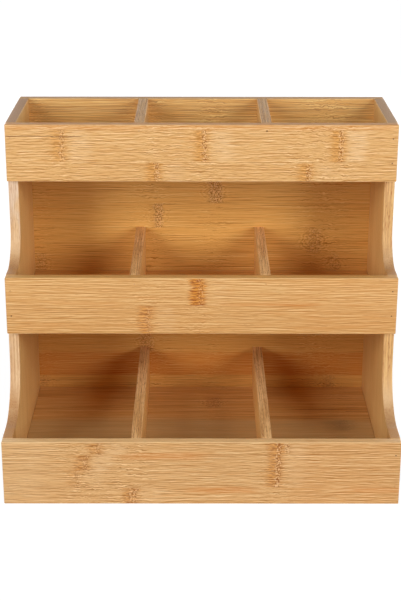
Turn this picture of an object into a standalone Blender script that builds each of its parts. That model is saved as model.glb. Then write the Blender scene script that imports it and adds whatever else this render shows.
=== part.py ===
"""Tea storage rack: a stepped bamboo rack with three trays of three compartments.

Frame: +Z up, the front faces -Y, the origin is on the ground under the middle of the rack.
All sizes are in metres. The boards are butted and nailed; a thin glue gap is left in each joint.
"""
import math

import bmesh
import bpy
from mathutils import Vector

MM = 0.001

# Overall width, and how far each tray stands forward
RACK_WIDTH = 305 * MM
TOP_TRAY_DEPTH = 105 * MM
MIDDLE_STEP = 38 * MM
BOTTOM_STEP = 60 * MM

# Heights, from the ground up: front boards and the open mouths between them
BOTTOM_FRONT_HEIGHT = 52.5 * MM
LOWER_MOUTH = 65 * MM
MIDDLE_FRONT_HEIGHT = 46.5 * MM
UPPER_MOUTH = 66.5 * MM
TOP_FRONT_HEIGHT = 45.5 * MM
BOTTOM_SHELF_LIFT = 6.5 * MM

# Board thicknesses
SIDE_THICKNESS = 8 * MM
FRONT_THICKNESS = 8 * MM
BACK_THICKNESS = 8 * MM
SHELF_THICKNESS = 7 * MM
DIVIDER_THICKNESS = 8 * MM

# Round inner corners of the side boards, and the eased edges of every board
UPPER_SCOOP_RADIUS = 26.5 * MM
LOWER_SCOOP_RADIUS = 40 * MM
SCOOP_SEGMENTS = 12
EASED_EDGE = 0.6 * MM
EASED_EDGE_SEGMENTS = 2
SHARP_EDGE = math.radians(40)

# Points of a drawn outline closer than this are the same point
WELD_DISTANCE = 0.01 * MM

# Middle of each divider, measured from the rack's middle
TOP_DIVIDERS = (-48.5 * MM, 50.5 * MM)
MIDDLE_DIVIDERS = (-52 * MM, 50 * MM)
BOTTOM_DIVIDERS = (-50 * MM, 50 * MM)

# Glue gap left in each joint
JOINT_GAP = 0.3 * MM

# Brad nails
BRAD_DIAMETER = 1.2 * MM
BRAD_LENGTH = 18 * MM
BRAD_SINK = 0.3 * MM
BRAD_CLEARANCE = 0.3 * MM
BRAD_SIDES = 10
BRAD_SHARP_EDGE = math.radians(50)
FRONT_BRAD_BELOW_RIM = 11 * MM
FRONT_BRAD_ABOVE_FOOT = 15 * MM
DIVIDER_BRAD_BELOW_RIM = 5 * MM
SHELF_BRAD_INSET = 22 * MM
BACK_BRAD_INSET = 30 * MM

# Places worked out from the sizes above
RACK_DEPTH = TOP_TRAY_DEPTH + MIDDLE_STEP + BOTTOM_STEP
BACK_REAR = RACK_DEPTH / 2
BACK_INNER = BACK_REAR - BACK_THICKNESS
SIDE_MIDDLE = (RACK_WIDTH - SIDE_THICKNESS) / 2
SIDE_INNER = RACK_WIDTH / 2 - SIDE_THICKNESS


class Tray:
    """One tray's front board, shelf and divider places."""

    def __init__(self, name, front, foot, height, shelf_foot, dividers):
        self.name = name
        self.front = front
        self.front_back = front + FRONT_THICKNESS
        self.foot = foot
        self.rim = foot + height
        self.shelf_foot = shelf_foot
        self.shelf_top = shelf_foot + SHELF_THICKNESS
        self.dividers = dividers


BOTTOM_FRONT = -RACK_DEPTH / 2
MIDDLE_FRONT = BOTTOM_FRONT + BOTTOM_STEP
TOP_FRONT = MIDDLE_FRONT + MIDDLE_STEP
MIDDLE_FOOT = BOTTOM_FRONT_HEIGHT + LOWER_MOUTH
TOP_FOOT = MIDDLE_FOOT + MIDDLE_FRONT_HEIGHT + UPPER_MOUTH

TRAYS = [
    Tray("bottom", BOTTOM_FRONT, 0.0, BOTTOM_FRONT_HEIGHT, BOTTOM_SHELF_LIFT, BOTTOM_DIVIDERS),
    Tray("middle", MIDDLE_FRONT, MIDDLE_FOOT, MIDDLE_FRONT_HEIGHT, MIDDLE_FOOT, MIDDLE_DIVIDERS),
    Tray("top", TOP_FRONT, TOP_FOOT, TOP_FRONT_HEIGHT, TOP_FOOT, TOP_DIVIDERS),
]
BOTTOM_TRAY, MIDDLE_TRAY, TOP_TRAY = TRAYS


def clear_scene():
    for old in list(bpy.data.objects):
        bpy.data.objects.remove(old, do_unlink=True)


def new_collection(name):
    collection = bpy.data.collections.new(name)
    bpy.context.scene.collection.children.link(collection)
    return collection


def make_material(name, colour, roughness, metallic):
    material = bpy.data.materials.new(name)
    material.use_nodes = True
    shader = material.node_tree.nodes["Principled BSDF"]
    shader.inputs["Base Color"].default_value = (*colour, 1.0)
    shader.inputs["Roughness"].default_value = roughness
    shader.inputs["Metallic"].default_value = metallic
    material.diffuse_color = (*colour, 1.0)
    return material


def ease_edges(board):
    """Round every sharp edge of a board a little, as sanding does."""
    bevel = board.modifiers.new("eased_edges", "BEVEL")
    bevel.width = EASED_EDGE
    bevel.segments = EASED_EDGE_SEGMENTS
    bevel.limit_method = "ANGLE"
    bevel.angle_limit = SHARP_EDGE


def flat_board(name, low, high, material, collection):
    """A square board between two opposite corners."""
    low = Vector(low)
    high = Vector(high)
    size = high - low
    mesh = bpy.data.meshes.new(name)
    shape = bmesh.new()
    bmesh.ops.create_cube(shape, size=1.0)
    bmesh.ops.scale(shape, vec=size, verts=shape.verts)
    shape.to_mesh(mesh)
    shape.free()
    board = bpy.data.objects.new(name, mesh)
    board.location = (low + high) / 2
    mesh.materials.append(material)
    collection.objects.link(board)
    ease_edges(board)
    return board


def scoop_arc(wall, floor, radius):
    """Points of a round inner corner, from its floor up to its wall."""
    points = []
    for step in range(SCOOP_SEGMENTS + 1):
        angle = math.radians(90) * step / SCOOP_SEGMENTS
        depth = wall - radius + radius * math.sin(angle)
        height = floor + radius - radius * math.cos(angle)
        points.append((depth, height))
    return points


def side_outline():
    """The stepped outline of a side board, as (depth, height) points."""
    rear = BACK_INNER - JOINT_GAP
    bottom_edge = BOTTOM_TRAY.front_back + JOINT_GAP
    middle_edge = MIDDLE_TRAY.front_back + JOINT_GAP
    top_edge = TOP_TRAY.front_back + JOINT_GAP
    outline = [(rear, 0.0), (bottom_edge, 0.0), (bottom_edge, BOTTOM_TRAY.rim)]
    outline += scoop_arc(middle_edge, BOTTOM_TRAY.rim, LOWER_SCOOP_RADIUS)
    outline += [(middle_edge, MIDDLE_TRAY.rim)]
    outline += scoop_arc(top_edge, MIDDLE_TRAY.rim, UPPER_SCOOP_RADIUS)
    outline += [(top_edge, TOP_TRAY.rim), (rear, TOP_TRAY.rim)]
    return outline


def side_board(name, middle, material, collection):
    """A side board: its outline drawn flat, extruded to its thickness and stood on edge."""
    outline = side_outline()
    curve = bpy.data.curves.new(name + "_outline", "CURVE")
    curve.dimensions = "2D"
    curve.fill_mode = "BOTH"
    curve.extrude = SIDE_THICKNESS / 2
    spline = curve.splines.new("POLY")
    spline.points.add(len(outline) - len(spline.points))
    for point, (depth, height) in zip(spline.points, outline):
        point.co = (depth, height, 0.0, 1.0)
    spline.use_cyclic_u = True
    drawing = bpy.data.objects.new(name + "_outline", curve)
    collection.objects.link(drawing)
    # The drawing's X becomes the rack's depth and its Y becomes the height
    drawing.rotation_euler = (math.radians(90), 0.0, math.radians(90))
    drawing.location = (middle, 0.0, 0.0)
    bpy.context.view_layer.update()

    graph = bpy.context.evaluated_depsgraph_get()
    mesh = bpy.data.meshes.new_from_object(drawing.evaluated_get(graph))
    mesh.name = name
    shape = bmesh.new()
    shape.from_mesh(mesh)
    bmesh.ops.remove_doubles(shape, verts=shape.verts, dist=WELD_DISTANCE)
    bmesh.ops.recalc_face_normals(shape, faces=shape.faces)
    shape.to_mesh(mesh)
    shape.free()
    board = bpy.data.objects.new(name, mesh)
    board.matrix_world = drawing.matrix_world.copy()
    mesh.materials.clear()
    mesh.materials.append(material)
    collection.objects.link(board)
    bpy.data.objects.remove(drawing, do_unlink=True)
    ease_edges(board)
    return board


def round_bar(name, start, direction, length, diameter, collection):
    """A plain round bar from a start point along a direction."""
    direction = Vector(direction)
    mesh = bpy.data.meshes.new(name)
    shape = bmesh.new()
    bmesh.ops.create_cone(shape, cap_ends=True, segments=BRAD_SIDES,
                          radius1=diameter / 2, radius2=diameter / 2, depth=length)
    shape.to_mesh(mesh)
    shape.free()
    bar = bpy.data.objects.new(name, mesh)
    bar.rotation_mode = "QUATERNION"
    bar.rotation_quaternion = Vector((0.0, 0.0, 1.0)).rotation_difference(direction)
    bar.location = Vector(start) + direction * (length / 2)
    collection.objects.link(bar)
    return bar


def drill(board, bore):
    cut = board.modifiers.new(bore.name, "BOOLEAN")
    cut.operation = "DIFFERENCE"
    cut.solver = "EXACT"
    cut.object = bore


def drive_brad(name, face_point, direction, boards, steel, rack, cutters):
    """A brad nail set just below a face, in a bore through the boards that it holds."""
    direction = Vector(direction)
    head = Vector(face_point) + direction * BRAD_SINK
    brad = round_bar(name, head, direction, BRAD_LENGTH, BRAD_DIAMETER, rack)
    brad.data.materials.append(steel)
    brad.data.shade_smooth()
    brad.data.set_sharp_from_angle(angle=BRAD_SHARP_EDGE)

    mouth = Vector(face_point) - direction * BRAD_CLEARANCE
    bore_length = BRAD_CLEARANCE + BRAD_SINK + BRAD_LENGTH + BRAD_CLEARANCE
    bore_diameter = BRAD_DIAMETER + 2 * BRAD_CLEARANCE
    bore = round_bar(name + "_bore", mouth, direction, bore_length, bore_diameter, cutters)
    bore.hide_render = True
    bore.display_type = "WIRE"
    for board in boards:
        drill(board, bore)
    return brad


def build_boards(bamboo, rack):
    """All the boards, by name."""
    boards = {}
    half_width = RACK_WIDTH / 2

    for side, sign in (("left", -1), ("right", 1)):
        name = f"side_{side}"
        boards[name] = side_board(name, sign * SIDE_MIDDLE, bamboo[name], rack)

    low = (-half_width, BACK_INNER, 0.0)
    high = (half_width, BACK_REAR, TOP_TRAY.rim)
    boards["back_panel"] = flat_board("back_panel", low, high, bamboo["back_panel"], rack)

    for tray in TRAYS:
        name = f"front_{tray.name}"
        low = (-half_width, tray.front, tray.foot)
        high = (half_width, tray.front_back, tray.rim)
        boards[name] = flat_board(name, low, high, bamboo[name], rack)

        name = f"shelf_{tray.name}"
        shelf_end = SIDE_INNER - JOINT_GAP
        low = (-shelf_end, tray.front_back + JOINT_GAP, tray.shelf_foot)
        high = (shelf_end, BACK_INNER - JOINT_GAP, tray.shelf_top)
        boards[name] = flat_board(name, low, high, bamboo[name], rack)

        for side, middle in zip(("left", "right"), tray.dividers):
            name = f"divider_{tray.name}_{side}"
            half = DIVIDER_THICKNESS / 2
            low = (middle - half, tray.front_back + JOINT_GAP, tray.shelf_top + JOINT_GAP)
            high = (middle + half, BACK_INNER - JOINT_GAP, tray.rim)
            boards[name] = flat_board(name, low, high, bamboo[name], rack)
    return boards


def drive_front_brads(boards, steel, rack, cutters):
    """Two brads at each end of a front board, and one into each divider."""
    inwards = (0.0, 1.0, 0.0)
    for tray in TRAYS:
        front = boards[f"front_{tray.name}"]
        heights = (("upper", tray.rim - FRONT_BRAD_BELOW_RIM),
                   ("lower", tray.foot + FRONT_BRAD_ABOVE_FOOT))
        for side, sign in (("left", -1), ("right", 1)):
            for level, height in heights:
                name = f"brad_front_{tray.name}_{side}_{level}"
                point = (sign * SIDE_MIDDLE, tray.front, height)
                held = (front, boards[f"side_{side}"])
                drive_brad(name, point, inwards, held, steel, rack, cutters)
        for side, middle in zip(("left", "right"), tray.dividers):
            name = f"brad_divider_{tray.name}_{side}"
            point = (middle, tray.front, tray.rim - DIVIDER_BRAD_BELOW_RIM)
            held = (front, boards[f"divider_{tray.name}_{side}"])
            drive_brad(name, point, inwards, held, steel, rack, cutters)


def drive_shelf_brads(boards, steel, rack, cutters):
    """Two brads through each side board into the end of each shelf."""
    for tray in TRAYS:
        height = tray.shelf_foot + SHELF_THICKNESS / 2
        depths = (("front", tray.front_back + SHELF_BRAD_INSET),
                  ("rear", BACK_INNER - SHELF_BRAD_INSET))
        for side, sign in (("left", -1), ("right", 1)):
            inwards = (-sign, 0.0, 0.0)
            for place, depth in depths:
                name = f"brad_shelf_{tray.name}_{side}_{place}"
                point = (sign * RACK_WIDTH / 2, depth, height)
                held = (boards[f"side_{side}"], boards[f"shelf_{tray.name}"])
                drive_brad(name, point, inwards, held, steel, rack, cutters)


def drive_back_brads(boards, steel, rack, cutters):
    """Three brads through the back board into the rear edge of each side board."""
    forwards = (0.0, -1.0, 0.0)
    heights = (("lower", BACK_BRAD_INSET), ("middle", TOP_TRAY.rim / 2),
               ("upper", TOP_TRAY.rim - BACK_BRAD_INSET))
    for side, sign in (("left", -1), ("right", 1)):
        for level, height in heights:
            name = f"brad_back_{side}_{level}"
            point = (sign * SIDE_MIDDLE, BACK_REAR, height)
            held = (boards["back_panel"], boards[f"side_{side}"])
            drive_brad(name, point, forwards, held, steel, rack, cutters)


def main():
    clear_scene()
    rack = new_collection("tea_storage_rack")
    cutters = new_collection("cutters")

    # Honey bamboo: the fronts are the palest, the boards inside are a little darker
    front_colour = (0.72, 0.47, 0.22)
    inner_colour = (0.60, 0.36, 0.15)
    bamboo = {}
    for name in ("side_left", "side_right", "back_panel"):
        bamboo[name] = make_material("bamboo_" + name, inner_colour, 0.5, 0.0)
    for tray in TRAYS:
        name = f"front_{tray.name}"
        bamboo[name] = make_material("bamboo_" + name, front_colour, 0.45, 0.0)
        name = f"shelf_{tray.name}"
        bamboo[name] = make_material("bamboo_" + name, inner_colour, 0.5, 0.0)
        for side in ("left", "right"):
            name = f"divider_{tray.name}_{side}"
            bamboo[name] = make_material("bamboo_" + name, inner_colour, 0.5, 0.0)
    steel = make_material("brad_steel", (0.35, 0.27, 0.2), 0.45, 1.0)

    boards = build_boards(bamboo, rack)
    drive_front_brads(boards, steel, rack, cutters)
    drive_shelf_brads(boards, steel, rack, cutters)
    drive_back_brads(boards, steel, rack, cutters)


main()
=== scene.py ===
"""Looks of the tea storage rack: three stepped bamboo trays of three compartments each.

The boards are sanded slabs worked out around the frame's boards, bored for the brads that hold
them, and finished in laminated bamboo: strips, fibres, knuckles, and arrises paler from wear
and a painted highlight.
Lengths are in metres unless a name ends in MM. +Z is up and the front faces -Y.
"""
import math

import bmesh
import bpy
import numpy as np
from mathutils import Matrix, Vector


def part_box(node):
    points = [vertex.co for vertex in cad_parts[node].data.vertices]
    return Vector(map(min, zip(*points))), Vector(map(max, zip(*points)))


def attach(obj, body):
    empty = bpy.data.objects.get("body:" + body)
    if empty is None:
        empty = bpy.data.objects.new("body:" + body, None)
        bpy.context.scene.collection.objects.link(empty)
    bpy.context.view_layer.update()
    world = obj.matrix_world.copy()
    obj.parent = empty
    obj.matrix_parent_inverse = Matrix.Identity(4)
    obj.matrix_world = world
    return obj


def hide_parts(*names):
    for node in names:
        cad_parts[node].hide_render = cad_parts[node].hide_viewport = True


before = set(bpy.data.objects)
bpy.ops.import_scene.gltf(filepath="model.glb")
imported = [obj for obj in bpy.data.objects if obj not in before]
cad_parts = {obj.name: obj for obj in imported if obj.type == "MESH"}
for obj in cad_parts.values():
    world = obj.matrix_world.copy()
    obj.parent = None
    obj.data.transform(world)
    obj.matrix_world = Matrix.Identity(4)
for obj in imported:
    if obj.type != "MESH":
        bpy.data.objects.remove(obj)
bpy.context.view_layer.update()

MM = 0.001
ROOT = "root"
TRAY_NAMES = ("bottom", "middle", "top")

# Boards
OUTER_ARRIS = 0.8 * MM
INNER_ARRIS = 0.45 * MM
JOINT_GAP = 0.3 * MM
JOINT_CLOSING = 0.25 * MM
ARRIS_STEPS = 4
FACE_STEP = 6 * MM
SUPPORT_STEP = 0.5 * MM
PLANING_DEPTH = 0.05 * MM
WELD_DISTANCE = 0.001 * MM
SHARP_ANGLE = math.radians(40)
# The waves of a planed face in radians a metre, along the board and down its face
CROSSING_WAVES = (31.0, 47.0)
CROSSING_STARTS = (1.7, 0.6)
SLANTING_WAVE = (73.0, 19.0)

# Side boards: the radius of each rounded inner corner, and how far the rulings of a face lag
# below a step's corner
SCOOPS = (40 * MM, 26.5 * MM)
SCOOP_STEPS = 14
RULING_LAG = 20 * MM

# Brads
BRAD_SIDES = 20
BORE_CLEARANCE = 0.06 * MM
BORE_LEAD = 1.0 * MM
BRAD_POINT = 2.0 * MM
BRAD_TIP = 0.2
# The dome of a brad's head: (distance, radius) in shares of the shank's radius
BRAD_DOME = ((0.0, 0.55), (0.1, 0.85), (0.35, 1.0))
# The brads in the front boards that aren't filled over
BARE_BRADS = ("brad_front_top_right_upper", "brad_front_top_right_lower",
              "brad_front_middle_right_upper", "brad_front_middle_right_lower",
              "brad_front_middle_left_lower", "brad_front_bottom_right_upper",
              "brad_divider_top_right")

# Bamboo
STRIP_OFFSET_MM = 217.3
STRIP_TONE_STEP = 5.3
STRIP_TONES = 0.3
RING_TONES = 0.18
DARK_TO_MIDDLE = (0.08, 0.52)
MIDDLE_TO_PALE = (0.48, 1.0)
EDGE_FADE = (0.3, 0.8)
END_FADE = (0.35, 0.85)
SEAM_EDGES_MM = (0.1, 0.5)
CRACK_EDGES_MM = (0.1, 0.45)
CRACK_END_MM = 8.0
SWAY_MM = 1.6
QUIVER_MM = 0.3
KNUCKLE_QUIVER_MM = 4.0
BOLD_FADE_MM = 3.0
BUNDLE_PITCH_MM = 1.6
BUNDLE_SHIFT = 30.0
BUNDLE_SHARE = 0.1
WARM_SHARE = 0.25
FLECK_SHARE = 0.4
DARK_SPECK_SHARE = 0.8
PALE_SPECK_SHARE = 0.45
RIDGE_SHARE = 1.8
SEAM_SHARE = 0.35
CRACK_SHARE = 0.9
LAYER_SHARE = 0.6
DASH_SHARE = 0.45
LINE_STEP_MM = 0.8
FINE_STEP_MM = 0.65
RIDGE_STEP_MM = 1.1
# A patch fades over this much at its ends, and over a share of its height at its sides
PATCH_END_MM = 14.0
PATCH_SIDE_MM = 1.2
PATCH_SIDE_SHARE = 0.2
PATCH_SHARP_UP_TO_MM = 25.0

# A knuckle's parts: where each is centred beside the knuckle's own line, how far it is full to
# either side and where it ends, in millimetres, and how much wider a ringed one's column is
FLUSH_REACH = (-1.0, 2.0, 9.0)
COLUMN_REACH = (1.5, 0.9, 3.0)
PALE_REACH = (15.0, 2.0, 12.0)
WAVY_REACH = (0.0, 3.0, 24.0)
RINGED_COLUMN_GAIN = (3.0, 6.0)
KNUCKLE_DRIFT_MM = 6.0
KNUCKLE_FRAY_MM = 7.0
KNUCKLE_EDGES_MM = (1.2, 0.4)
RING_PITCH_MM = 2.8
RING_STRETCH = 1.3
RING_CURL = 12.0
RING_EDGES = (0.6, 1.1)

# How long the blobs of each noise are in millimetres, along, across and into the board
DRIFT_BLOBS = (40.0, 4.0, 30.0)
FRAY_BLOBS = (30.0, 0.8, 30.0)
CURL_BLOBS = (4.0, 2.2, 30.0)
BROAD_BLOBS = (110.0, 9.0, 30.0)
BAND_BLOBS = (70.0, 2.4, 5.0)
SWAY_BLOBS = (45.0, 9.0, 20.0)
QUIVER_BLOBS = (5.5, 3.0, 20.0)
WARM_BLOBS = (60.0, 3.0, 30.0)
PALE_BLOBS = (9.0, 1.6, 5.0)
RIDGE_BLOBS = (4.0, 1.3, 1.0)
SPECK_BLOBS = (1.2, 1.1, 0.9)
SEAM_BLOBS = (30.0, 30.0, 30.0)
WEAR_BLOBS = (30.0, 60.0, 14.0)
LAYER_BLOBS = (60.0, 60.0, 0.55)
DASH_BLOBS = (5.0, 20.0, 0.55)
PORE_BLOBS = (4.0, 1.0, 0.8)

# Roughness from a surface's low parts to its high ones, the height of its relief, and how deep
# seams and specks lie in shares of it
WOOD_ROUGHNESS = (0.58, 0.42)
WOOD_SPECULAR = 0.35
WOOD_RELIEF = 0.05 * MM
SEAM_DEPTH = -0.8
SPECK_DEPTH = -0.6
BRAD_ROUGHNESS = (0.4, 0.65)
BRAD_RELIEF = 0.03 * MM
BRAD_BLOBS = (0.5, 0.5, 0.5)
# The dark and the pale colour of the brads, and how metallic they are
STEEL = ((112, 74, 42), (156, 112, 72), 0.6)
FILLER = ((196, 144, 86), (222, 174, 116), 0.0)

# Camera, found from the rack's edges in the picture
CAMERA_PLACE = (-0.00274, -1.0674, 0.5216)
CAMERA_YAW = 0.0019
CAMERA_DIP = 0.3513
CAMERA_ROLL = 0.0017
LENS_MM = 84.15
SENSOR_MM = 36.0

# Studio
LAMP_AIM = Vector((0.0, 0.0, 0.14))
LAMP_DISTANCE = 1.6
FLOOR_HALF = 6.0
FLOOR_DROP = 0.05 * MM
FLOOR_LIT = (231, 231, 231)
FLOOR_SEEN = (104, 104, 104)
FLOOR_ROUGHNESS = (0.85, 0.95)
FLOOR_BLOBS = (40.0, 40.0, 40.0)
WORLD_FILL = 0.02
# Each kind of lamp stands at the left and the right: azimuth from the front and elevation in
# degrees, width and height in metres, and power in watts
LAMPS = (("key", 40.5, 20.0, (0.45, 0.75), 13.2),
         ("side", 75.0, 20.0, (0.6, 0.6), 3.6),
         ("rear", 150.0, 6.0, (0.7, 0.7), 6.0))
# The floor glows to white, a little less near the rack: (strength, distance in millimetres)
FLOOR_GLOW_NEAR = (0.94, 200.0)
FLOOR_GLOW_FAR = (1.0, 600.0)


def axis_of(letter):
    return "xyz".index(letter)


def srgb(red, green, blue):
    """A colour given in 0-255 display values, as the linear values that shaders take."""
    values = np.array([red, green, blue]) / 255
    linear = np.where(values <= 0.04045, values / 12.92, ((values + 0.055) / 1.055) ** 2.4)
    return (*linear.tolist(), 1.0)


# Surfaces

def closed_mesh(name, points, **labels):
    """A closed skin from a grid of points: rows are stations, columns run round each ring.

    Each cell of four neighbours is a face, and the last column joins the first. The end rows
    lie on one line, so merging equal points closes the ends. Each label is kept on the points.
    """
    rows, columns = points.shape[:2]
    index = np.arange(rows * columns).reshape(rows, columns)
    near = index[:-1]
    far = index[1:]
    faces = np.stack([near, np.roll(near, -1, 1), np.roll(far, -1, 1), far], axis=-1)
    mesh = bpy.data.meshes.new(name)
    mesh.from_pydata(points.reshape(-1, 3), [], faces.reshape(-1, 4))
    for label, values in labels.items():
        attribute = mesh.attributes.new(label, "FLOAT", "POINT")
        attribute.data.foreach_set("value", values.astype(np.float32).ravel())
    shape = bmesh.new()
    shape.from_mesh(mesh)
    bmesh.ops.remove_doubles(shape, verts=shape.verts, dist=WELD_DISTANCE)
    bmesh.ops.recalc_face_normals(shape, faces=shape.faces)
    shape.to_mesh(mesh)
    shape.free()
    mesh.shade_smooth()
    mesh.set_sharp_from_angle(angle=SHARP_ANGLE)
    return mesh


def stretch(start, end):
    """Places along a straight run: both ends, one place close to each, and even steps between."""
    length = end - start
    steps = max(2, round(length / FACE_STEP))
    inner = np.linspace(0, 1, steps + 1)[1:-1]
    support = min(SUPPORT_STEP / length, 0.4 / steps)
    return start + length * np.concatenate([[0, support], inner, [1 - support, 1]])


def planing(points, depth):
    """How far a planed and sanded board lies under its true face: a few long shallow waves.

    It is depth x (1/2 + 3/10 of two crossing sines multiplied + 1/5 of a slanting sine).
    """
    deep = points[..., 1]
    long = points[..., 2]
    crossing = (np.sin(long * CROSSING_WAVES[0] + CROSSING_STARTS[0])
                * np.sin(deep * CROSSING_WAVES[1] + CROSSING_STARTS[1]))
    slanting = np.sin(long * SLANTING_WAVE[0] + deep * SLANTING_WAVE[1])
    return depth * (0.5 + 0.3 * crossing + 0.2 * slanting)


def sanded_slab(name, order, thickness, front, normal, rear, arris):
    """A slab whose edges are rounded all round, between a front line and a rear line.

    The slab is a thin core with a ball of the arris radius rolled round it: every point is
    core + radius x direction. A ring goes round the slab at each station of the two lines:
    up the front edge, over one face, down the rear edge and back over the other face. At both
    ends the direction tips over by a quarter turn, and the ring then closes onto the middle.
    order names the world axes of the slab's thickness, depth and length. front, normal and rear
    are (depth, length) pairs, one for each station.
    """
    quarter = np.linspace(0, np.pi / 2, ARRIS_STEPS + 1)
    tip = np.concatenate([[-np.pi / 2], quarter[:-1] - np.pi / 2, np.zeros(len(front)),
                          quarter[1:], [np.pi / 2]])
    station = np.concatenate([np.zeros(ARRIS_STEPS + 1, int), np.arange(len(front)),
                              np.full(ARRIS_STEPS + 1, len(front) - 1)])
    pinch = np.ones(len(station))
    pinch[[0, -1]] = 0
    front = front[station]
    normal = normal[station]
    rear = rear[station]

    # Round the ring: share of the way to the rear, side of the core, and the direction's parts
    width = float(np.abs(rear - front).max())
    face = stretch(0.0, width)[1:-1] / width
    half = (thickness[1] - thickness[0]) / 2 - arris
    flat = stretch(-half, half)[1:-1] / half
    sine = np.sin(quarter)
    cosine = np.cos(quarter)
    share = np.concatenate([0 * quarter, 0 * flat, 0 * quarter, face,
                            1 + 0 * quarter, 1 + 0 * flat, 1 + 0 * quarter, face[::-1]])
    side = np.concatenate([-1 + 0 * quarter, flat, 1 + 0 * quarter, 1 + 0 * face,
                           1 + 0 * quarter, flat[::-1], -1 + 0 * quarter, -1 + 0 * face])
    across = np.concatenate([-cosine, 0 * flat, sine, 1 + 0 * face,
                             cosine, 0 * flat, -sine, -1 + 0 * face])
    outward = np.concatenate([sine, 1 + 0 * flat, cosine, 0 * face,
                              sine, 1 + 0 * flat, cosine, 0 * face])
    is_rear = share > 0.5

    middle = (thickness[0] + thickness[1]) / 2
    core = np.zeros((len(station), len(share), 3))
    core[..., 0] = middle + half * side * pinch[:, None]
    core[..., 1:] = front[:, None] + (rear - front)[:, None] * share[:, None]
    direction = np.zeros_like(core)
    direction[..., 0] = across
    edge_way = np.where(is_rear[:, None], np.array([1.0, 0.0]), normal[:, None])
    direction[..., 1:] = outward[:, None] * edge_way
    direction *= np.cos(tip)[:, None, None]
    direction[..., 2] += np.sin(tip)[:, None]

    points = core + arris * direction
    points -= direction * planing(points, PLANING_DEPTH)[..., None]
    parts = np.abs(direction)
    # How far round an arris a point lies, for arrises paler from wear and a painted highlight
    worn = np.clip((1 - parts.max(axis=-1)) / (1 - math.sqrt(0.5)), 0, 1)
    world = np.empty_like(points)
    world[..., [axis_of(letter) for letter in order]] = points
    return closed_mesh(name, world, worn=worn, edge=parts[..., 1], end=parts[..., 2])


def flat_board(name, order, low, high, arris):
    """A plain board between two corners, longest along the last axis of order."""
    thin, deep, long = (axis_of(letter) for letter in order)
    along = stretch(low[long] + arris, high[long] - arris)
    front = np.stack([np.full(len(along), low[deep] + arris), along], axis=-1)
    rear = np.stack([np.full(len(along), high[deep] - arris), along], axis=-1)
    normal = np.tile([-1.0, 0.0], (len(along), 1))
    return sanded_slab(name, order, (low[thin], high[thin]), front, normal, rear, arris)


def side_lines(arris):
    """The front line of a side board's core with its outward directions, and the rear line.

    Going up, each step adds a straight front edge, a rounded corner at the tray's rim, a level
    run and a round inner corner: a quarter circle round a centre one radius above the level run
    and one radius in front of the next straight edge. The core lies one arris radius inside.
    """
    edges = [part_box(f"front_{tray}")[1].y + JOINT_GAP - JOINT_CLOSING for tray in TRAY_NAMES]
    rims = [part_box(f"front_{tray}")[1].z for tray in TRAY_NAMES]
    rear_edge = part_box("side_left")[1].y + JOINT_CLOSING - arris
    corner = np.linspace(0, np.pi / 2, ARRIS_STEPS + 1)
    arc = np.linspace(0, np.pi / 2, SCOOP_STEPS + 1)
    front = []
    normal = []
    heights = []
    start = arris
    for edge, rim, next_edge, radius in zip(edges, rims, edges[1:] + [None], SCOOPS + (None,)):
        straight = stretch(start, rim - arris)
        front.append(np.stack([np.full(len(straight), edge + arris), straight], axis=-1))
        normal.append(np.tile([-1.0, 0.0], (len(straight), 1)))
        if radius is None:
            heights.append(np.linspace(start, rim - arris, len(straight)))
            continue
        front.append(np.tile([edge + arris, rim - arris], (len(corner) - 1, 1)))
        normal.append(np.stack([-np.cos(corner), np.sin(corner)], axis=-1)[1:])
        level = stretch(edge + arris, next_edge - radius)[1:-1]
        front.append(np.stack([level, np.full(len(level), rim - arris)], axis=-1))
        normal.append(np.tile([0.0, 1.0], (len(level), 1)))
        centre = np.array([next_edge - radius, rim + radius])
        front.append(centre + (radius + arris) * np.stack([np.sin(arc), -np.cos(arc)], axis=-1))
        normal.append(np.stack([-np.sin(arc), np.cos(arc)], axis=-1))
        lagging = np.linspace(start, rim - RULING_LAG, len(straight))
        rest = len(corner) - 1 + len(level) + len(arc)
        catching_up = np.linspace(rim - RULING_LAG, rim + radius, rest + 1)[1:]
        heights.append(np.concatenate([lagging, catching_up]))
        start = rim + radius + SUPPORT_STEP
    front = np.concatenate(front)
    heights = np.concatenate(heights)
    rear = np.stack([np.full(len(heights), rear_edge), heights], axis=-1)
    return front, np.concatenate(normal), rear


def turned(axis, start, profile):
    """A closed turned shape: radius against distance from the start along a signed axis.

    Every point is start + distance along the axis + radius x (cosine, sine) round it.
    """
    distance, radius = np.array(profile).T
    angle = np.linspace(0, 2 * np.pi, BRAD_SIDES, endpoint=False)
    thin = (axis[0] + 1) % 3
    other = (axis[0] + 2) % 3
    points = np.empty((len(distance), BRAD_SIDES, 3))
    points[..., axis[0]] = start[axis[0]] + axis[1] * distance[:, None]
    points[..., thin] = start[thin] + radius[:, None] * np.cos(angle)
    points[..., other] = start[other] + radius[:, None] * np.sin(angle)
    return points


# Wood

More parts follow.
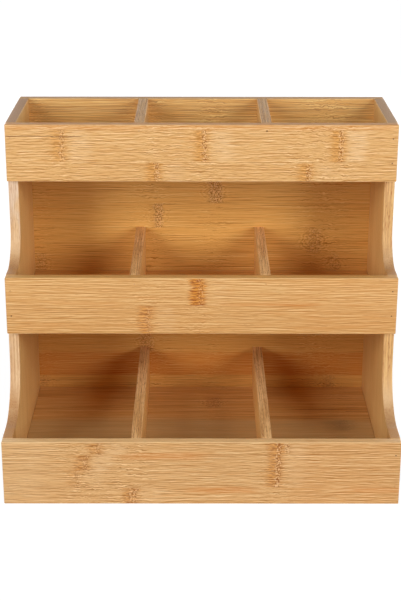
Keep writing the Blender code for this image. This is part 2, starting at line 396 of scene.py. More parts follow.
class Wiring:
    """Short names for the nodes of one material."""

    def __init__(self, name):
        self.material = bpy.data.materials.new(name)
        self.material.use_nodes = True
        self.tree = self.material.node_tree
        self.shader = self.tree.nodes["Principled BSDF"]

    def plug(self, socket, value):
        """Link a socket to another, or set its value."""
        if isinstance(value, bpy.types.NodeSocket):
            self.tree.links.new(value, socket)
        else:
            socket.default_value = value

    def math(self, operation, first, second=0.0, third=0.0, clamp=False):
        node = self.tree.nodes.new("ShaderNodeMath")
        node.operation = operation
        node.use_clamp = clamp
        for socket, value in zip(node.inputs, (first, second, third)):
            self.plug(socket, value)
        return node.outputs[0]

    def centred(self, value, weight, total=0.0):
        """total + weight x (value - 1/2), for values that hover about one half."""
        return self.math("ADD", self.math("MULTIPLY_ADD", value, weight, -weight / 2), total)

    def distance(self, value, place):
        return self.math("ABSOLUTE", self.math("SUBTRACT", value, place))

    def fade(self, value, low, high, to_low=0.0, to_high=1.0):
        """A smooth step from one value to another."""
        node = self.tree.nodes.new("ShaderNodeMapRange")
        node.interpolation_type = "SMOOTHSTEP"
        for socket, number in zip(node.inputs, (value, low, high, to_low, to_high)):
            self.plug(socket, number)
        return node.outputs[0]

    def vector(self, x, y, z):
        node = self.tree.nodes.new("ShaderNodeCombineXYZ")
        for socket, value in zip(node.inputs, (x, y, z)):
            self.plug(socket, value)
        return node.outputs[0]

    def noise(self, place, lengths, detail):
        """Noise whose blobs are about these lengths along, across and into the board."""
        scaled = [self.math("DIVIDE", part, length) for part, length in zip(place, lengths)]
        node = self.tree.nodes.new("ShaderNodeTexNoise")
        self.plug(node.inputs["Vector"], self.vector(*scaled))
        node.inputs["Scale"].default_value = 1.0
        node.inputs["Detail"].default_value = detail
        return node.outputs["Fac"]

    def streaks(self, place, lengths, step):
        """Fine streaks about one half: noise less the same noise a small step across the
        grain, which leaves out all that is much broader than the step."""
        along, across, into = place
        here = self.noise(place, lengths, 1.0)
        there = self.noise((along, self.math("ADD", across, step), into), lengths, 1.0)
        return self.math("ADD", self.math("SUBTRACT", here, there), 0.5)

    def mix(self, share, first, second):
        node = self.tree.nodes.new("ShaderNodeMix")
        node.data_type = "RGBA"
        for label, value in (("Factor_Float", share), ("A_Color", first), ("B_Color", second)):
            socket = next(s for s in node.inputs if s.identifier == label)
            self.plug(socket, value)
        return next(s for s in node.outputs if s.identifier == "Result_Color")

    def attribute(self, name):
        node = self.tree.nodes.new("ShaderNodeAttribute")
        node.attribute_name = name
        return node.outputs["Fac"]

    def place(self, order):
        """The object coordinates in millimetres, as (along, across, into) the board."""
        coordinates = self.tree.nodes.new("ShaderNodeTexCoord")
        split = self.tree.nodes.new("ShaderNodeSeparateXYZ")
        self.plug(split.inputs[0], coordinates.outputs["Object"])
        return [self.math("MULTIPLY", split.outputs[axis_of(letter)], 1000.0) for letter in order]

    def bump(self, height, distance):
        node = self.tree.nodes.new("ShaderNodeBump")
        node.inputs["Distance"].default_value = distance
        self.plug(node.inputs["Height"], height)
        self.plug(self.shader.inputs["Normal"], node.outputs[0])


class Palette:
    """The colours of one kind of board: its streaks from dark to pale, the streaks of its
    knuckles from dark to pale, its edges and its ends.

    lines is how strongly the layers show on its edges.
    """

    def __init__(self, dark, middle, pale, warm, knuckle_dark, knuckle, edge, end, lines):
        self.dark = srgb(*dark)
        self.middle = srgb(*middle)
        self.pale = srgb(*pale)
        self.warm = srgb(*warm)
        self.knuckle_dark = srgb(*knuckle_dark)
        self.knuckle = srgb(*knuckle)
        self.edge = srgb(*edge)
        self.end = srgb(*end)
        self.lines = lines


# The edge colour of the front boards is partly a painted highlight on their up-facing rims
FRONTS = {
    "top": Palette((176, 120, 56), (217, 168, 106), (244, 210, 158), (216, 150, 76),
                   (172, 108, 28), (222, 160, 78), (246, 190, 124), (190, 142, 96), 0.4),
    "middle": Palette((170, 109, 44), (206, 152, 89), (232, 191, 132), (210, 140, 66),
                      (148, 74, 6), (212, 140, 50), (254, 208, 128), (188, 138, 88), 0.5),
    "bottom": Palette((168, 116, 56), (211, 163, 106), (240, 206, 154), (206, 142, 68),
                      (152, 85, 12), (212, 143, 56), (250, 210, 150), (188, 138, 90), 0.4),
}
BACK = Palette((178, 114, 40), (230, 173, 91), (252, 216, 140), (224, 148, 60),
               (176, 112, 40), (220, 160, 84), (230, 184, 130), (176, 128, 80), 0.6)
SHELVES = Palette((162, 100, 40), (219, 165, 94), (246, 210, 146), (208, 138, 62),
                  (160, 100, 44), (206, 146, 80), (222, 174, 116), (176, 128, 80), 0.6)
LEFT_SIDE = Palette((190, 132, 66), (226, 178, 110), (244, 208, 144), (218, 152, 76),
                    (176, 116, 50), (216, 160, 92), (226, 200, 170), (194, 146, 98), 0.6)
RIGHT_SIDE = Palette((190, 132, 66), (226, 178, 110), (244, 208, 144), (218, 152, 76),
                     (176, 116, 50), (216, 160, 92), (226, 184, 124), (200, 156, 108), 0.9)
# The dividers' edge colour is partly a painted highlight on their tops
DIVIDERS = Palette((190, 130, 62), (222, 168, 98), (242, 202, 136), (222, 150, 72),
                   (176, 116, 50), (216, 160, 92), (252, 208, 146), (192, 146, 98), 0.9)
KNUCKLE_PALE = srgb(240, 206, 160)
SPECK_BROWN = srgb(138, 74, 8)
SEAM_BROWN = srgb(160, 104, 54)
CRACK_BROWN = srgb(112, 64, 30)
LAYER_BROWN = srgb(168, 98, 44)
# Painted greyish light from above, laid on the top of the back board
PAINTED_GREY_LIGHT = srgb(198, 160, 116)
# Painted light, laid over the shaded lower part of the top tray's back
PAINTED_PALE_LIGHT = srgb(246, 204, 140)
# The orange of some strips on the front boards; on the back board behind the bottom tray it is
# painted shade
ORANGE_STRIP_AND_SHADE = srgb(206, 124, 44)
# Partly a grey stain, partly painted light where light reaches the bottom shelf's front
GREY_STAIN_AND_LIGHT = srgb(208, 182, 130)
SPOT_GREY = srgb(150, 126, 94)
LEVEL_BROWN = srgb(196, 140, 76)
# Pale arrises: wear, and a painted highlight
ARRIS_WEAR_AND_SHEEN = srgb(240, 204, 156)

# How strongly the broad bands, the narrow bands, the long and the short streaks show
FRONT_GRAIN = (0.16, 0.12, 0.7, 0.95)
BACK_GRAIN = (0.24, 0.3, 0.45, 0.6)
SHELF_GRAIN = (0.4, 0.8, 0.6, 0.7)
SIDE_GRAIN = (0.16, 0.25, 0.5, 0.65)
# How long the short fibre streaks are, and how much the fibres wander
FRONT_FIBRE_MM = {"top": 10.0, "middle": 18.0, "bottom": 14.0}
LONG_FIBRE_MM = 26.0
DIVIDER_FIBRE_MM = 20.0
FRONT_WAVINESS = {"top": 1.1, "middle": 0.5, "bottom": 0.8}
BACK_WAVINESS = 0.25
SHELF_WAVINESS = 0.3
SIDE_WAVINESS = 0.5
DIVIDER_WAVINESS = 0.5
# The grain of the back shows more strongly above this height. No board reaches NO_BOLD_MM.
BACK_BOLD_FROM_MM = 229.0
NO_BOLD_MM = 1000.0
# Strips are numbered, each board's from a first number of its own, so that no two look the same
FRONT_STRIPS = (1, 6, 11)
BACK_STRIP = 31
SHELF_STRIPS = (47, 60, 73)
SIDE_BOARDS = (("side_left", LEFT_SIDE, 83), ("side_right", RIGHT_SIDE, 100))
DIVIDER_STRIPS = (111, 118, 125, 132, 139, 146)

# What stands where on each board, in millimetres along and across it: a seam is its place
# across; a knuckle is (along, low, high, strengths); a crack is (across, start, stop); a patch
# is (low corner, high corner, colour, share)
FRONT_SEAMS = {"top": [246.2, 272.0], "middle": [141.0], "bottom": [14.2, 42.0]}
FRONT_KNUCKLES = {
    "top": [(-110.0, 246.2, 272.0, (0.7, 0.8, 0.6, 0.5, 0.0)),
            (0.8, 246.2, 272.0, (0.85, 1.0, 0.7, 0.7, 0.0)),
            (106.0, 246.2, 272.0, (0.9, 1.0, 0.9, 0.8, 0.0)),
            (-36.5, 230.0, 246.2, (0.9, 1.0, 0.4, 0.6, 0.0)),
            (82.0, 230.0, 246.2, (0.85, 1.0, 0.4, 0.7, 0.0))],
    "middle": [(-2.0, 141.0, 166.0, (1.4, 0.6, 0.2, 0.6, 0.0)),
               (-42.7, 117.0, 141.0, (0.7, 0.45, 0.3, 0.5, 0.0))],
    "bottom": [(-97.0, 14.2, 30.0, (0.3, 0.4, 0.3, 0.3, 0.0)),
               (-90.0, 28.0, 42.0, (0.55, 0.6, 0.7, 0.4, 0.0)),
               (-80.0, 42.0, 53.0, (0.55, 0.5, 0.6, 0.4, 0.0)),
               (57.2, 14.2, 53.0, (0.75, 1.0, 0.4, 0.6, 0.0)),
               (63.5, 43.0, 53.0, (0.3, 0.8, 0.0, 0.0, 0.0)),
               (-53.6, 0.0, 14.2, (0.6, 0.8, 0.5, 0.8, 0.3))],
}
FRONT_CRACKS = {"top": [(266.5, -158.0, -90.0)]}
FRONT_PATCHES = {
    "top": [((-160.0, 272.0), (160.0, 280.0), ORANGE_STRIP_AND_SHADE, 0.25)],
    "middle": [((20.0, 141.0), (90.0, 143.0), ORANGE_STRIP_AND_SHADE, 0.4),
               ((70.0, 110.0), (200.0, 170.0), ORANGE_STRIP_AND_SHADE, 0.07)],
    "bottom": [((-60.0, 38.0), (0.0, 44.0), ORANGE_STRIP_AND_SHADE, 0.35),
               ((-10.0, 9.5), (40.0, 14.2), ORANGE_STRIP_AND_SHADE, 0.35),
               ((115.0, 10.0), (160.0, 14.2), ORANGE_STRIP_AND_SHADE, 0.3),
               ((-200.0, -5.0), (-118.0, 60.0), KNUCKLE_PALE, 0.1),
               ((70.0, -5.0), (200.0, 60.0), ORANGE_STRIP_AND_SHADE, 0.11)],
}
BACK_SEAMS = [25.0, 47.1, 66.0, 93.0, 118.0, 139.8, 162.9, 185.0, 206.0, 229.0, 251.0]
BACK_KNUCKLES = [(10.8, 185.0, 206.0, (0.3, 0.9, 0.0, 0.8, 0.8)),
                 (-38.1, 162.9, 185.0, (0.3, 0.9, 0.0, 0.6, 0.4)),
                 (96.8, 139.8, 162.9, (0.25, 0.4, 0.0, 0.8, 0.9)),
                 (115.0, 118.0, 139.8, (0.2, 0.4, 0.0, 0.4, 0.5)),
                 (-140.5, 118.0, 139.8, (0.2, 0.4, 0.0, 0.4, 0.5)),
                 (-49.9, 47.1, 66.0, (0.5, 0.7, 0.0, 0.6, 0.8)),
                 (-142.1, 0.0, 25.0, (0.3, 0.4, 0.0, 0.4, 0.5)),
                 (114.3, 0.0, 25.0, (0.3, 0.4, 0.0, 0.4, 0.5))]
# On the back board: painted greyish light at the top of the top tray, painted light on the top
# tray's shaded lower back, and painted deep orange shade low in the bottom tray
BACK_PAINTED_LIGHT_AND_SHADE = [((-200.0, 264.0), (200.0, 290.0), PAINTED_GREY_LIGHT, 0.3),
                ((-200.0, 229.0), (200.0, 264.0), PAINTED_PALE_LIGHT, 0.2),
                ((-200.0, 47.1), (200.0, 66.0), ORANGE_STRIP_AND_SHADE, 0.2),
                ((-200.0, 25.0), (200.0, 47.1), ORANGE_STRIP_AND_SHADE, 0.7)]
# Even seams: the low and the high edge, how far the first seam lies from the low edge, and the
# width of the strips. Those of a side run between its own edges.
SHELF_SEAMS_MM = (-94.0, 94.0, 2.0, 23.2)
SIDE_SEAMS_MM = (18.0, 23.0)
SHELF_KNUCKLES = {"bottom": [(10.7, 47.0, 70.0, (0.4, 0.6, 0.0, 0.6, 0.8)),
                             (119.0, 0.0, 24.0, (0.4, 0.7, 0.0, 0.6, 0.6))]}
# The bottom shelf's greyer front is partly a stain and partly painted light; the small grey spot
# is a knot
SHELF_PATCHES = {"bottom": [((-180.0, -40.0), (180.0, 24.0), GREY_STAIN_AND_LIGHT, 0.6),
                            ((113.0, 2.0), (125.0, 22.0), SPOT_GREY, 0.5)]}
SIDE_PATCHES = [((30.0, -100.0), (72.0, -76.0), LEVEL_BROWN, 0.8),
                ((145.0, -40.0), (178.0, -20.0), LEVEL_BROWN, 0.7)]
DIVIDER_SEAM_DROP_MM = 21.0


def knuckle_masks(w, along, across, into, knuckles):
    """Where knuckles cross their strips: the flush, its column of specks, the pale patch beside
    it, the wavy wood about it and the rings round it.

    A knuckle is (along, low, high, strengths): it crosses its own strip from low to high, and
    its strengths are those of the flush, the specks, the pale patch, the waves and the rings.
    """
    here = (along, across, into)
    curl = w.noise(here, CURL_BLOBS, 1.0)
    drift = w.centred(w.noise(here, DRIFT_BLOBS, 1.0), KNUCKLE_DRIFT_MM)
    ragged = w.centred(w.noise(here, FRAY_BLOBS, 1.0), KNUCKLE_FRAY_MM, drift)
    totals = [0.0, 0.0, 0.0, 0.0]
    rings = 0.0

    def part(beside, reach, strength, gain=(0.0, 0.0)):
        centre, full, end = reach
        return w.fade(w.distance(beside, centre), full + gain[0], end + gain[1], strength, 0.0)

    for place, low, high, (flushed, specked, paled, waved, ringed) in knuckles:
        offset = w.math("ADD", w.math("SUBTRACT", along, place), drift)
        frayed = w.math("ADD", w.math("SUBTRACT", along, place), ragged)
        middle = (low + high) / 2
        half = (high - low) / 2
        strip = w.fade(w.distance(across, middle), half - KNUCKLE_EDGES_MM[0],
                       half + KNUCKLE_EDGES_MM[1], 1.0, 0.0)
        gain = [width * ringed for width in RINGED_COLUMN_GAIN]
        parts = [(part(frayed, FLUSH_REACH, flushed), strip),
                 (part(offset, COLUMN_REACH, specked, gain), strip),
                 (part(offset, PALE_REACH, paled), strip),
                 (part(offset, WAVY_REACH, waved), 1.0)]
        totals = [w.math("MULTIPLY_ADD", mask, share, total)
                  for (mask, share), total in zip(parts, totals)]
        if ringed:
            beside = w.math("POWER", w.math("DIVIDE", offset, RING_STRETCH), 2.0)
            above = w.math("POWER", w.math("SUBTRACT", across, middle), 2.0)
            radius = w.math("SQRT", w.math("ADD", beside, above))
            turns = w.math("MULTIPLY", radius, 2 * math.pi / RING_PITCH_MM)
            wave = w.math("SINE", w.centred(curl, RING_CURL, turns))
            reach = w.fade(radius, half * RING_EDGES[0], half * RING_EDGES[1], ringed, 0.0)
            rings = w.math("ADD", rings, w.math("MULTIPLY", wave, reach))
    return (*totals, rings)


def fibre_tones(w, fibre, length, grain, strength):
    """How pale the wood is along its fibres, about one half, and its finest fibres alone."""
    broad = w.noise(fibre, BROAD_BLOBS, 1.0)
    bands = w.noise(fibre, BAND_BLOBS, 2.0)
    lines = w.streaks(fibre, (length * 4.0, 1.0, 1.0), LINE_STEP_MM)
    fine = w.streaks(fibre, (length, 0.8, 0.8), FINE_STEP_MM)
    shift = w.noise(fibre, (length * 3.0, 2.5, 3.0), 1.0)
    turns = w.math("MULTIPLY", fibre[1], 2 * math.pi / BUNDLE_PITCH_MM)
    bundles = w.math("SINE", w.math("MULTIPLY_ADD", shift, BUNDLE_SHIFT, turns))
    presence = w.fade(w.noise(fibre, (length * 2.0, 5.0, 5.0), 1.0), 0.35, 0.65, 0.4, 1.0)
    tone = 0.0
    for layer, weight in zip((broad, bands, lines, fine), grain):
        tone = w.centred(layer, weight, tone)
    presence = w.math("MULTIPLY", presence, grain[3] * BUNDLE_SHARE)
    tone = w.math("MULTIPLY_ADD", bundles, presence, tone)
    return w.math("MULTIPLY_ADD", tone, strength, 0.5), fine


def patch_mask(w, place, ragged, low, high):
    """Soft-edged and broken: 1 between two corners given along and across the board."""
    mask = 1.0
    height = high[1] - low[1]
    side_softness = max(PATCH_SIDE_MM, PATCH_SIDE_SHARE * (height - PATCH_SHARP_UP_TO_MM))
    for axis, softness in enumerate((PATCH_END_MM, side_softness)):
        middle = (low[axis] + high[axis]) / 2
        half = (high[axis] - low[axis]) / 2
        gap = w.centred(ragged, softness * 2.0, w.distance(place[axis], middle))
        mask = w.math("MULTIPLY", mask, w.fade(gap, half - softness, half + softness, 1.0, 0.0))
    return mask


def bamboo(name, order, palette, first_strip, grain, length, waviness, seams, knuckles=(),
           cracks=(), patches=(), bold_from=NO_BOLD_MM):
    """Laminated bamboo: strips with their own tones, fibres, flecks, knuckles, and edges paler
    from wear and a painted highlight.

    order names the world axes along, across and into the board. first_strip numbers its first
    strip. grain says how strongly the broad bands, the narrow bands, the long streaks and the
    short ones show; length is how long the short ones are, in millimetres, and waviness how
    much they all wander. Beyond bold_from across the board they show twice as strongly.
    """
    w = Wiring(name)
    along, across, into = w.place(order)

    # Strips, told apart by the seams below them
    strip = float(first_strip)
    seam_line = 0.0
    for seam in seams:
        strip = w.math("ADD", strip, w.math("GREATER_THAN", across, seam))
        line = w.fade(w.distance(across, seam), *SEAM_EDGES_MM, 1.0, 0.0)
        seam_line = w.math("ADD", seam_line, line)
    along_own = w.math("MULTIPLY_ADD", strip, STRIP_OFFSET_MM, along)
    own_place = (along_own, across, into)
    flush, column, pale_patch, wavy, rings = knuckle_masks(w, along, across, into, knuckles)

    # Fibres wander a little, and quiver beside a knuckle
    sway = w.noise(own_place, SWAY_BLOBS, 2.0)
    ripple = w.noise(own_place, QUIVER_BLOBS, 2.0)
    bend = w.centred(sway, SWAY_MM * waviness, across)
    quiver = w.math("MULTIPLY", w.centred(ripple, 1.0),
                    w.math("MULTIPLY_ADD", wavy, KNUCKLE_QUIVER_MM, QUIVER_MM * waviness))
    bend = w.math("ADD", bend, quiver)
    fibre = (along_own, bend, into)
    strength = w.fade(across, bold_from - BOLD_FADE_MM, bold_from + BOLD_FADE_MM, 1.0, 2.0)
    tone, fine = fibre_tones(w, fibre, length, grain, strength)
    own = w.noise((w.math("MULTIPLY", strip, STRIP_TONE_STEP), 0.5, 0.5), (1.0, 1.0, 1.0), 0.0)
    tone = w.centred(own, STRIP_TONES, w.math("MULTIPLY_ADD", rings, RING_TONES, tone))
    colour = w.mix(w.fade(tone, *DARK_TO_MIDDLE), palette.dark, palette.middle)
    colour = w.mix(w.fade(tone, *MIDDLE_TO_PALE), colour, palette.pale)

    warm = w.noise(fibre, WARM_BLOBS, 2.0)
    colour = w.mix(w.fade(warm, 0.56, 0.74, 0.0, WARM_SHARE), colour, palette.warm)
    flecks = w.streaks(fibre, (length * 0.4, 1.0, 0.7), LINE_STEP_MM)
    flecked = w.fade(flecks, 0.6, 0.85, 0.0, FLECK_SHARE * grain[3])
    colour = w.mix(flecked, colour, palette.dark)

    # Knuckles: pale wood to the right, a golden flush across the fibres, a column of specks
    patchy = w.fade(w.noise(fibre, PALE_BLOBS, 2.0), 0.35, 0.65, 0.1, 0.5)
    colour = w.mix(w.math("MULTIPLY", pale_patch, patchy, clamp=True), colour, KNUCKLE_PALE)
    ridges = w.streaks((along, bend, into), RIDGE_BLOBS, RIDGE_STEP_MM)
    ridges = w.centred(ridges, RIDGE_SHARE, tone)
    knuckle_colour = w.mix(w.fade(ridges, 0.1, 0.9), palette.knuckle_dark, palette.knuckle)
    streaky = w.fade(fine, 0.3, 0.7, 0.95, 0.6)
    colour = w.mix(w.math("MULTIPLY", flush, streaky, clamp=True), colour, knuckle_colour)
    speckle = w.noise((along, bend, into), SPECK_BLOBS, 1.0)
    dark_specks = w.fade(speckle, 0.51, 0.59, 0.0, DARK_SPECK_SHARE)
    dark_specks = w.math("MULTIPLY", column, dark_specks, clamp=True)
    colour = w.mix(dark_specks, colour, SPECK_BROWN)
    pale_specks = w.fade(speckle, 0.4, 0.47, PALE_SPECK_SHARE, 0.0)
    colour = w.mix(w.math("MULTIPLY", column, pale_specks, clamp=True), colour, KNUCKLE_PALE)

    broken = w.fade(w.noise(own_place, SEAM_BLOBS, 2.0), 0.4, 0.65, 0.0, SEAM_SHARE)
    seam_mask = w.math("MULTIPLY", seam_line, broken, clamp=True)
    colour = w.mix(seam_mask, colour, SEAM_BROWN)
    for height, start, stop in cracks:
        half = (stop - start) / 2
        line = w.fade(w.distance(bend, height), *CRACK_EDGES_MM, CRACK_SHARE, 0.0)
        run = w.fade(w.distance(along, (start + stop) / 2), half - CRACK_END_MM, half, 1.0, 0.0)
        colour = w.mix(w.math("MULTIPLY", line, run), colour, CRACK_BROWN)

    # The thin edges show the layers of the strips on a pale colour, which on the rims of the
    # front boards and the tops of the dividers is partly a painted highlight, and the ends show
    # cut fibres
    edge = w.attribute("edge")
    end = w.attribute("end")
    worn = w.attribute("worn")
    wear = w.noise(own_place, WEAR_BLOBS, 2.0)
    shade = w.centred(own, 1.0, wear)
    edge_colour_and_sheen = w.mix(w.fade(shade, 0.42, 0.62, 0.0, 0.5), palette.edge, palette.middle)
    layer = w.noise(own_place, LAYER_BLOBS, 1.0)
    dashes = w.noise(own_place, DASH_BLOBS, 2.0)
    lines = w.math("ADD", w.fade(layer, 0.44, 0.6, 0.0, LAYER_SHARE * palette.lines),
                   w.fade(dashes, 0.52, 0.66, 0.0, DASH_SHARE * palette.lines))
    edge_colour_and_sheen = w.mix(lines, edge_colour_and_sheen, LAYER_BROWN)
    colour = w.mix(w.fade(edge, *EDGE_FADE), colour, edge_colour_and_sheen)
    pores = w.noise((along, across, into), PORE_BLOBS, 2.0)
    end_colour = w.mix(w.fade(pores, 0.5, 0.62, 0.0, 0.5), palette.end, LAYER_BROWN)
    colour = w.mix(w.fade(end, *END_FADE), colour, end_colour)
    # Patches: tints of the wood's own, and painted light and shade on the back board and the
    # bottom shelf
    for low, high, tint, share in patches:
        mask = patch_mask(w, (along, across), sway, low, high)
        mask = w.math("MULTIPLY", mask, w.fade(fine, 0.35, 0.65, share * 1.4, share * 0.6))
        colour = w.mix(mask, colour, tint)
    # Arrises made paler: wear, and a painted highlight where the rounded edges catch light
    rubbed_and_sheen = w.math("MULTIPLY", worn, w.fade(wear, 0.35, 0.6, 0.1, 0.55))
    colour = w.mix(rubbed_and_sheen, colour, ARRIS_WEAR_AND_SHEEN)

    w.plug(w.shader.inputs["Base Color"], colour)
    w.plug(w.shader.inputs["Roughness"], w.fade(fine, 0.3, 0.7, *WOOD_ROUGHNESS))
    w.shader.inputs["Specular IOR Level"].default_value = WOOD_SPECULAR
    height = w.math("MULTIPLY_ADD", seam_mask, SEAM_DEPTH, fine)
    w.bump(w.math("MULTIPLY_ADD", dark_specks, SPECK_DEPTH, height), WOOD_RELIEF)
    return w.material


def mottled(name, dark, pale, metallic):
    """A small spotty surface between two colours: a brad's steel, or the filler over it."""
    w = Wiring(name)
    mottle = w.noise(w.place("xyz"), BRAD_BLOBS, 2.0)
    w.plug(w.shader.inputs["Base Color"], w.mix(mottle, srgb(*dark), srgb(*pale)))
    w.plug(w.shader.inputs["Roughness"], w.fade(mottle, 0.3, 0.7, *BRAD_ROUGHNESS))
    w.shader.inputs["Metallic"].default_value = metallic
    w.bump(mottle, BRAD_RELIEF)
    return w.material


# Pieces

def finished(name, mesh, material):
    """A piece at the origin that stands for the frame node of its own name."""
    piece = bpy.data.objects.new(name + "_finished", mesh)
    bpy.context.scene.collection.objects.link(piece)
    mesh.materials.clear()
    mesh.materials.append(material)
    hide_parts(name)
    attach(piece, ROOT)


def even_seams(low, high, first, strip):
    """The seams of evenly wide strips between two edges, all in millimetres: the first one
    lies the given distance from the low edge."""
    return [float(seam) for seam in np.arange(low + first, high, strip)]


def brad_axis(name):
    """The axis that a brad lies along, and the way from its head to its point."""
    if "_shelf_" in name:
        return (0, 1.0) if "_left_" in name else (0, -1.0)
    return (1, -1.0) if "_back_" in name else (1, 1.0)


def brad_start(name):
    """Where a brad's head is, how long the brad is and how thick."""
    low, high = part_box(name)
    axis, way = brad_axis(name)
    start = (low + high) / 2
    start[axis] = low[axis] if way > 0 else high[axis]
    return start, high[axis] - low[axis], (high[(axis + 1) % 3] - low[(axis + 1) % 3]) / 2


def brad_mesh(name):
    """A brad: a slightly domed head, a plain shank and a blunt point."""
    start, length, radius = brad_start(name)
    dome = [(radius * distance, radius * share) for distance, share in BRAD_DOME]
    profile = [(0.0, 0.0), *dome, (length - BRAD_POINT, radius), (length, radius * BRAD_TIP),
               (length, 0.0)]
    return closed_mesh(name, turned(brad_axis(name), start, profile))


def bores(names):
    """One cutter for all the brads of a board: a plain bar for each, starting in the open."""
    cutter = bmesh.new()
    for name in names:
        start, length, radius = brad_start(name)
        bore = radius + BORE_CLEARANCE
        profile = [(-BORE_LEAD, 0.0), (-BORE_LEAD, bore), (length + BORE_CLEARANCE, bore),
                   (length + BORE_CLEARANCE, 0.0)]
        bar = closed_mesh("bore", turned(brad_axis(name), start, profile))
        cutter.from_mesh(bar)
        bpy.data.meshes.remove(bar)
    mesh = bpy.data.meshes.new("bores")
    cutter.to_mesh(mesh)
    cutter.free()
    return bpy.data.objects.new("bores", mesh)


def bored(name, mesh, brads):
    """The board's mesh with a bore for each brad whose box meets the board's."""
    low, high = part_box(name)
    met = []
    for brad in brads:
        brad_low, brad_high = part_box(brad)
        if all(brad_low[i] < high[i] and brad_high[i] > low[i] for i in range(3)):
            met.append(brad)
    if not met:
        return mesh
    cutter = bores(met)
    board = bpy.data.objects.new(name + "_blank", mesh)
    for thing in (cutter, board):
        bpy.context.scene.collection.objects.link(thing)
    cut = board.modifiers.new("bores", "BOOLEAN")
    cut.operation = "DIFFERENCE"
    cut.solver = "EXACT"
    cut.object = cutter
    graph = bpy.context.evaluated_depsgraph_get()
    result = bpy.data.meshes.new_from_object(board.evaluated_get(graph))
    result.name = name
    for thing in (cutter, board):
        bpy.data.objects.remove(thing, do_unlink=True)
    result.shade_smooth()
    result.set_sharp_from_angle(angle=SHARP_ANGLE)
    return result


def make_fronts(brads):
    """The three front boards, each with the strips and knuckles of its own."""
    for tray, first_strip in zip(TRAY_NAMES, FRONT_STRIPS):
        name = f"front_{tray}"
        low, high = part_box(name)
        mesh = bored(name, flat_board(name, "yzx", low, high, OUTER_ARRIS), brads)
        wood = bamboo("bamboo_" + name, "xzy", FRONTS[tray], first_strip, FRONT_GRAIN,
                      FRONT_FIBRE_MM[tray], FRONT_WAVINESS[tray], FRONT_SEAMS[tray],
                      FRONT_KNUCKLES[tray], FRONT_CRACKS.get(tray, ()), FRONT_PATCHES[tray])
        finished(name, mesh, wood)


def make_back(brads):
    """The back board, whose strips run right across all three trays, with painted light in the
    top tray and painted shade in the bottom one.
    """
    name = "back_panel"
    low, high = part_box(name)
    mesh = bored(name, flat_board(name, "yzx", low, high, OUTER_ARRIS), brads)
    wood = bamboo("bamboo_" + name, "xzy", BACK, BACK_STRIP, BACK_GRAIN, LONG_FIBRE_MM,
                  BACK_WAVINESS, BACK_SEAMS, BACK_KNUCKLES, patches=BACK_PAINTED_LIGHT_AND_SHADE,
                  bold_from=BACK_BOLD_FROM_MM)
    finished(name, mesh, wood)


def make_shelves(brads):
    """The three shelves; the bottom one is greyer near its front, partly from a stain and partly
    from painted light, and spotted there.
    """
    closing = Vector((JOINT_CLOSING, JOINT_CLOSING, 0.0))
    seams = even_seams(*SHELF_SEAMS_MM)
    for tray, first_strip in zip(TRAY_NAMES, SHELF_STRIPS):
        name = f"shelf_{tray}"
        low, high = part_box(name)
        mesh = flat_board(name, "zyx", low - closing, high + closing, INNER_ARRIS)
        mesh = bored(name, mesh, brads)
        wood = bamboo("bamboo_" + name, "xyz", SHELVES, first_strip, SHELF_GRAIN, LONG_FIBRE_MM,
                      SHELF_WAVINESS, seams, SHELF_KNUCKLES.get(tray, ()),
                      patches=SHELF_PATCHES.get(tray, ()))
        finished(name, mesh, wood)


def make_sides(brads):
    """The two stepped side boards, browner at the level runs behind the lower two rims."""
    front, normal, rear = side_lines(INNER_ARRIS)
    for name, palette, first_strip in SIDE_BOARDS:
        low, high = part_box(name)
        mesh = sanded_slab(name, "xyz", (low.x, high.x), front, normal, rear, INNER_ARRIS)
        mesh = bored(name, mesh, brads)
        seams = even_seams(low.y / MM, high.y / MM, *SIDE_SEAMS_MM)
        wood = bamboo("bamboo_" + name, "zyx", palette, first_strip, SIDE_GRAIN, LONG_FIBRE_MM,
                      SIDE_WAVINESS, seams, patches=SIDE_PATCHES)
        finished(name, mesh, wood)


def make_dividers(brads):
    """The six dividers, each of two strips."""
    names = [f"divider_{tray}_{side}" for tray in TRAY_NAMES for side in ("left", "right")]
    for name, first_strip in zip(names, DIVIDER_STRIPS):
        low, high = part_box(name)
        low -= Vector((0.0, JOINT_CLOSING, JOINT_CLOSING))
        high += Vector((0.0, JOINT_CLOSING, 0.0))
        mesh = bored(name, flat_board(name, "xzy", low, high, INNER_ARRIS), brads)
        seams = [high.z / MM - DIVIDER_SEAM_DROP_MM]
        wood = bamboo("bamboo_" + name, "yzx", DIVIDERS, first_strip, SIDE_GRAIN,
                      DIVIDER_FIBRE_MM, DIVIDER_WAVINESS, seams)
        finished(name, mesh, wood)


def make_brads(brads):
    """The brads; most of those in the front boards are filled over."""
    steel = mottled("brad_steel", *STEEL)
    filler = mottled("wood_filler", *FILLER)
    for name in brads:
        filled = ("_front_" in name or "_divider_" in name) and name not in BARE_BRADS
        finished(name, brad_mesh(name), filler if filled else steel)


# Studio

def make_camera():
    """The camera that looks a little down on the rack, as it stands in the picture."""
    data = bpy.data.cameras.new("camera")
    data.lens = LENS_MM
    data.sensor_width = SENSOR_MM
    camera = bpy.data.objects.new("camera", data)
    bpy.context.scene.collection.objects.link(camera)
    yaw = Matrix.Rotation(-CAMERA_YAW, 4, "Z")
    dip = Matrix.Rotation(math.pi / 2 - CAMERA_DIP, 4, "X")
    roll = Matrix.Rotation(CAMERA_ROLL, 4, "Z")
    camera.matrix_world = Matrix.Translation(CAMERA_PLACE) @ (yaw @ dip) @ roll
    bpy.context.scene.camera = camera


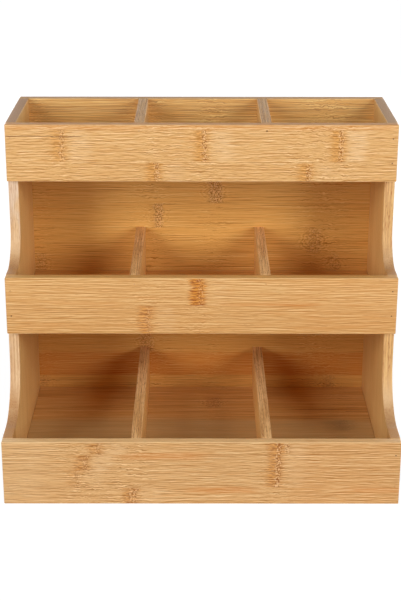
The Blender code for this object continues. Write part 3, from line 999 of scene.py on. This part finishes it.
def make_lamp(name, azimuth, elevation, size, power):
    """A soft panel lamp, size wide by size high, aimed at the rack; azimuth 0 is in front."""
    data = bpy.data.lights.new(name, "AREA")
    data.shape = "RECTANGLE"
    data.size, data.size_y = size
    data.energy = power
    lamp = bpy.data.objects.new(name, data)
    bpy.context.scene.collection.objects.link(lamp)
    azimuth = math.radians(azimuth)
    elevation = math.radians(elevation)
    way = Vector((math.sin(azimuth) * math.cos(elevation),
                  -math.cos(azimuth) * math.cos(elevation), math.sin(elevation)))
    lamp.location = LAMP_AIM + way * LAMP_DISTANCE
    lamp.rotation_mode = "QUATERNION"
    lamp.rotation_quaternion = way.to_track_quat("Z", "Y")


def seen_directly(tree):
    """1 for rays from the camera, from a gloss or through glass, and 0 for scattered light."""
    rays = tree.nodes.new("ShaderNodeLightPath")
    total = rays.outputs["Is Camera Ray"]
    for label in ("Is Glossy Ray", "Is Transmission Ray"):
        node = tree.nodes.new("ShaderNodeMath")
        node.operation = "MAXIMUM"
        tree.links.new(total, node.inputs[0])
        tree.links.new(rays.outputs[label], node.inputs[1])
        total = node.outputs[0]
    return total


def floor_paint():
    """White paint: where seen directly it glows to white, but for the shadow by the rack."""
    w = Wiring("white_floor")
    along, across, into = w.place("xyz")
    seen = seen_directly(w.tree)
    squares = w.math("ADD", w.math("POWER", along, 2.0), w.math("POWER", across, 2.0))
    strengths, edges = zip(FLOOR_GLOW_NEAR, FLOOR_GLOW_FAR)
    glow = w.math("MULTIPLY", seen, w.fade(w.math("SQRT", squares), *edges, *strengths))
    speckle = w.noise((along, across, into), FLOOR_BLOBS, 3.0)
    w.plug(w.shader.inputs["Base Color"], w.mix(seen, srgb(*FLOOR_LIT), srgb(*FLOOR_SEEN)))
    w.plug(w.shader.inputs["Roughness"], w.fade(speckle, 0.3, 0.7, *FLOOR_ROUGHNESS))
    w.shader.inputs["Specular IOR Level"].default_value = 0.0
    w.shader.inputs["Emission Color"].default_value = (1.0, 1.0, 1.0, 1.0)
    w.plug(w.shader.inputs["Emission Strength"], glow)
    return w.material


def make_floor():
    """One wide flat square just under the rack."""
    mesh = bpy.data.meshes.new("floor")
    corner = np.array([-1.0, 1.0]) * FLOOR_HALF
    x, y = np.meshgrid(corner, corner)
    points = np.stack([x.ravel(), y.ravel(), np.full(4, -FLOOR_DROP)], axis=-1)
    mesh.from_pydata(points, [], [(0, 1, 3, 2)])
    mesh.materials.append(floor_paint())
    floor = bpy.data.objects.new("floor", mesh)
    bpy.context.scene.collection.objects.link(floor)


def make_world():
    """Even white surroundings that fill the shadows, and a white backdrop where seen."""
    world = bpy.data.worlds.new("studio")
    bpy.context.scene.world = world
    world.use_nodes = True
    tree = world.node_tree
    background = tree.nodes["Background"]
    background.inputs["Color"].default_value = (1.0, 1.0, 1.0, 1.0)
    strength = tree.nodes.new("ShaderNodeMapRange")
    tree.links.new(seen_directly(tree), strength.inputs["Value"])
    strength.inputs["To Min"].default_value = WORLD_FILL
    strength.inputs["To Max"].default_value = 1.0
    tree.links.new(strength.outputs[0], background.inputs["Strength"])


def main():
    """Make all the pieces, then the camera, the lamps and the white surroundings."""
    brads = sorted(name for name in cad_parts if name.startswith("brad_"))
    make_fronts(brads)
    make_back(brads)
    make_shelves(brads)
    make_sides(brads)
    make_dividers(brads)
    make_brads(brads)
    make_camera()
    for side, sign in (("left", -1), ("right", 1)):
        for kind, azimuth, elevation, size, power in LAMPS:
            make_lamp(f"{side}_{kind}", sign * azimuth, elevation, size, power)
    make_floor()
    make_world()
    bpy.context.scene.view_settings.view_transform = "Standard"


main()
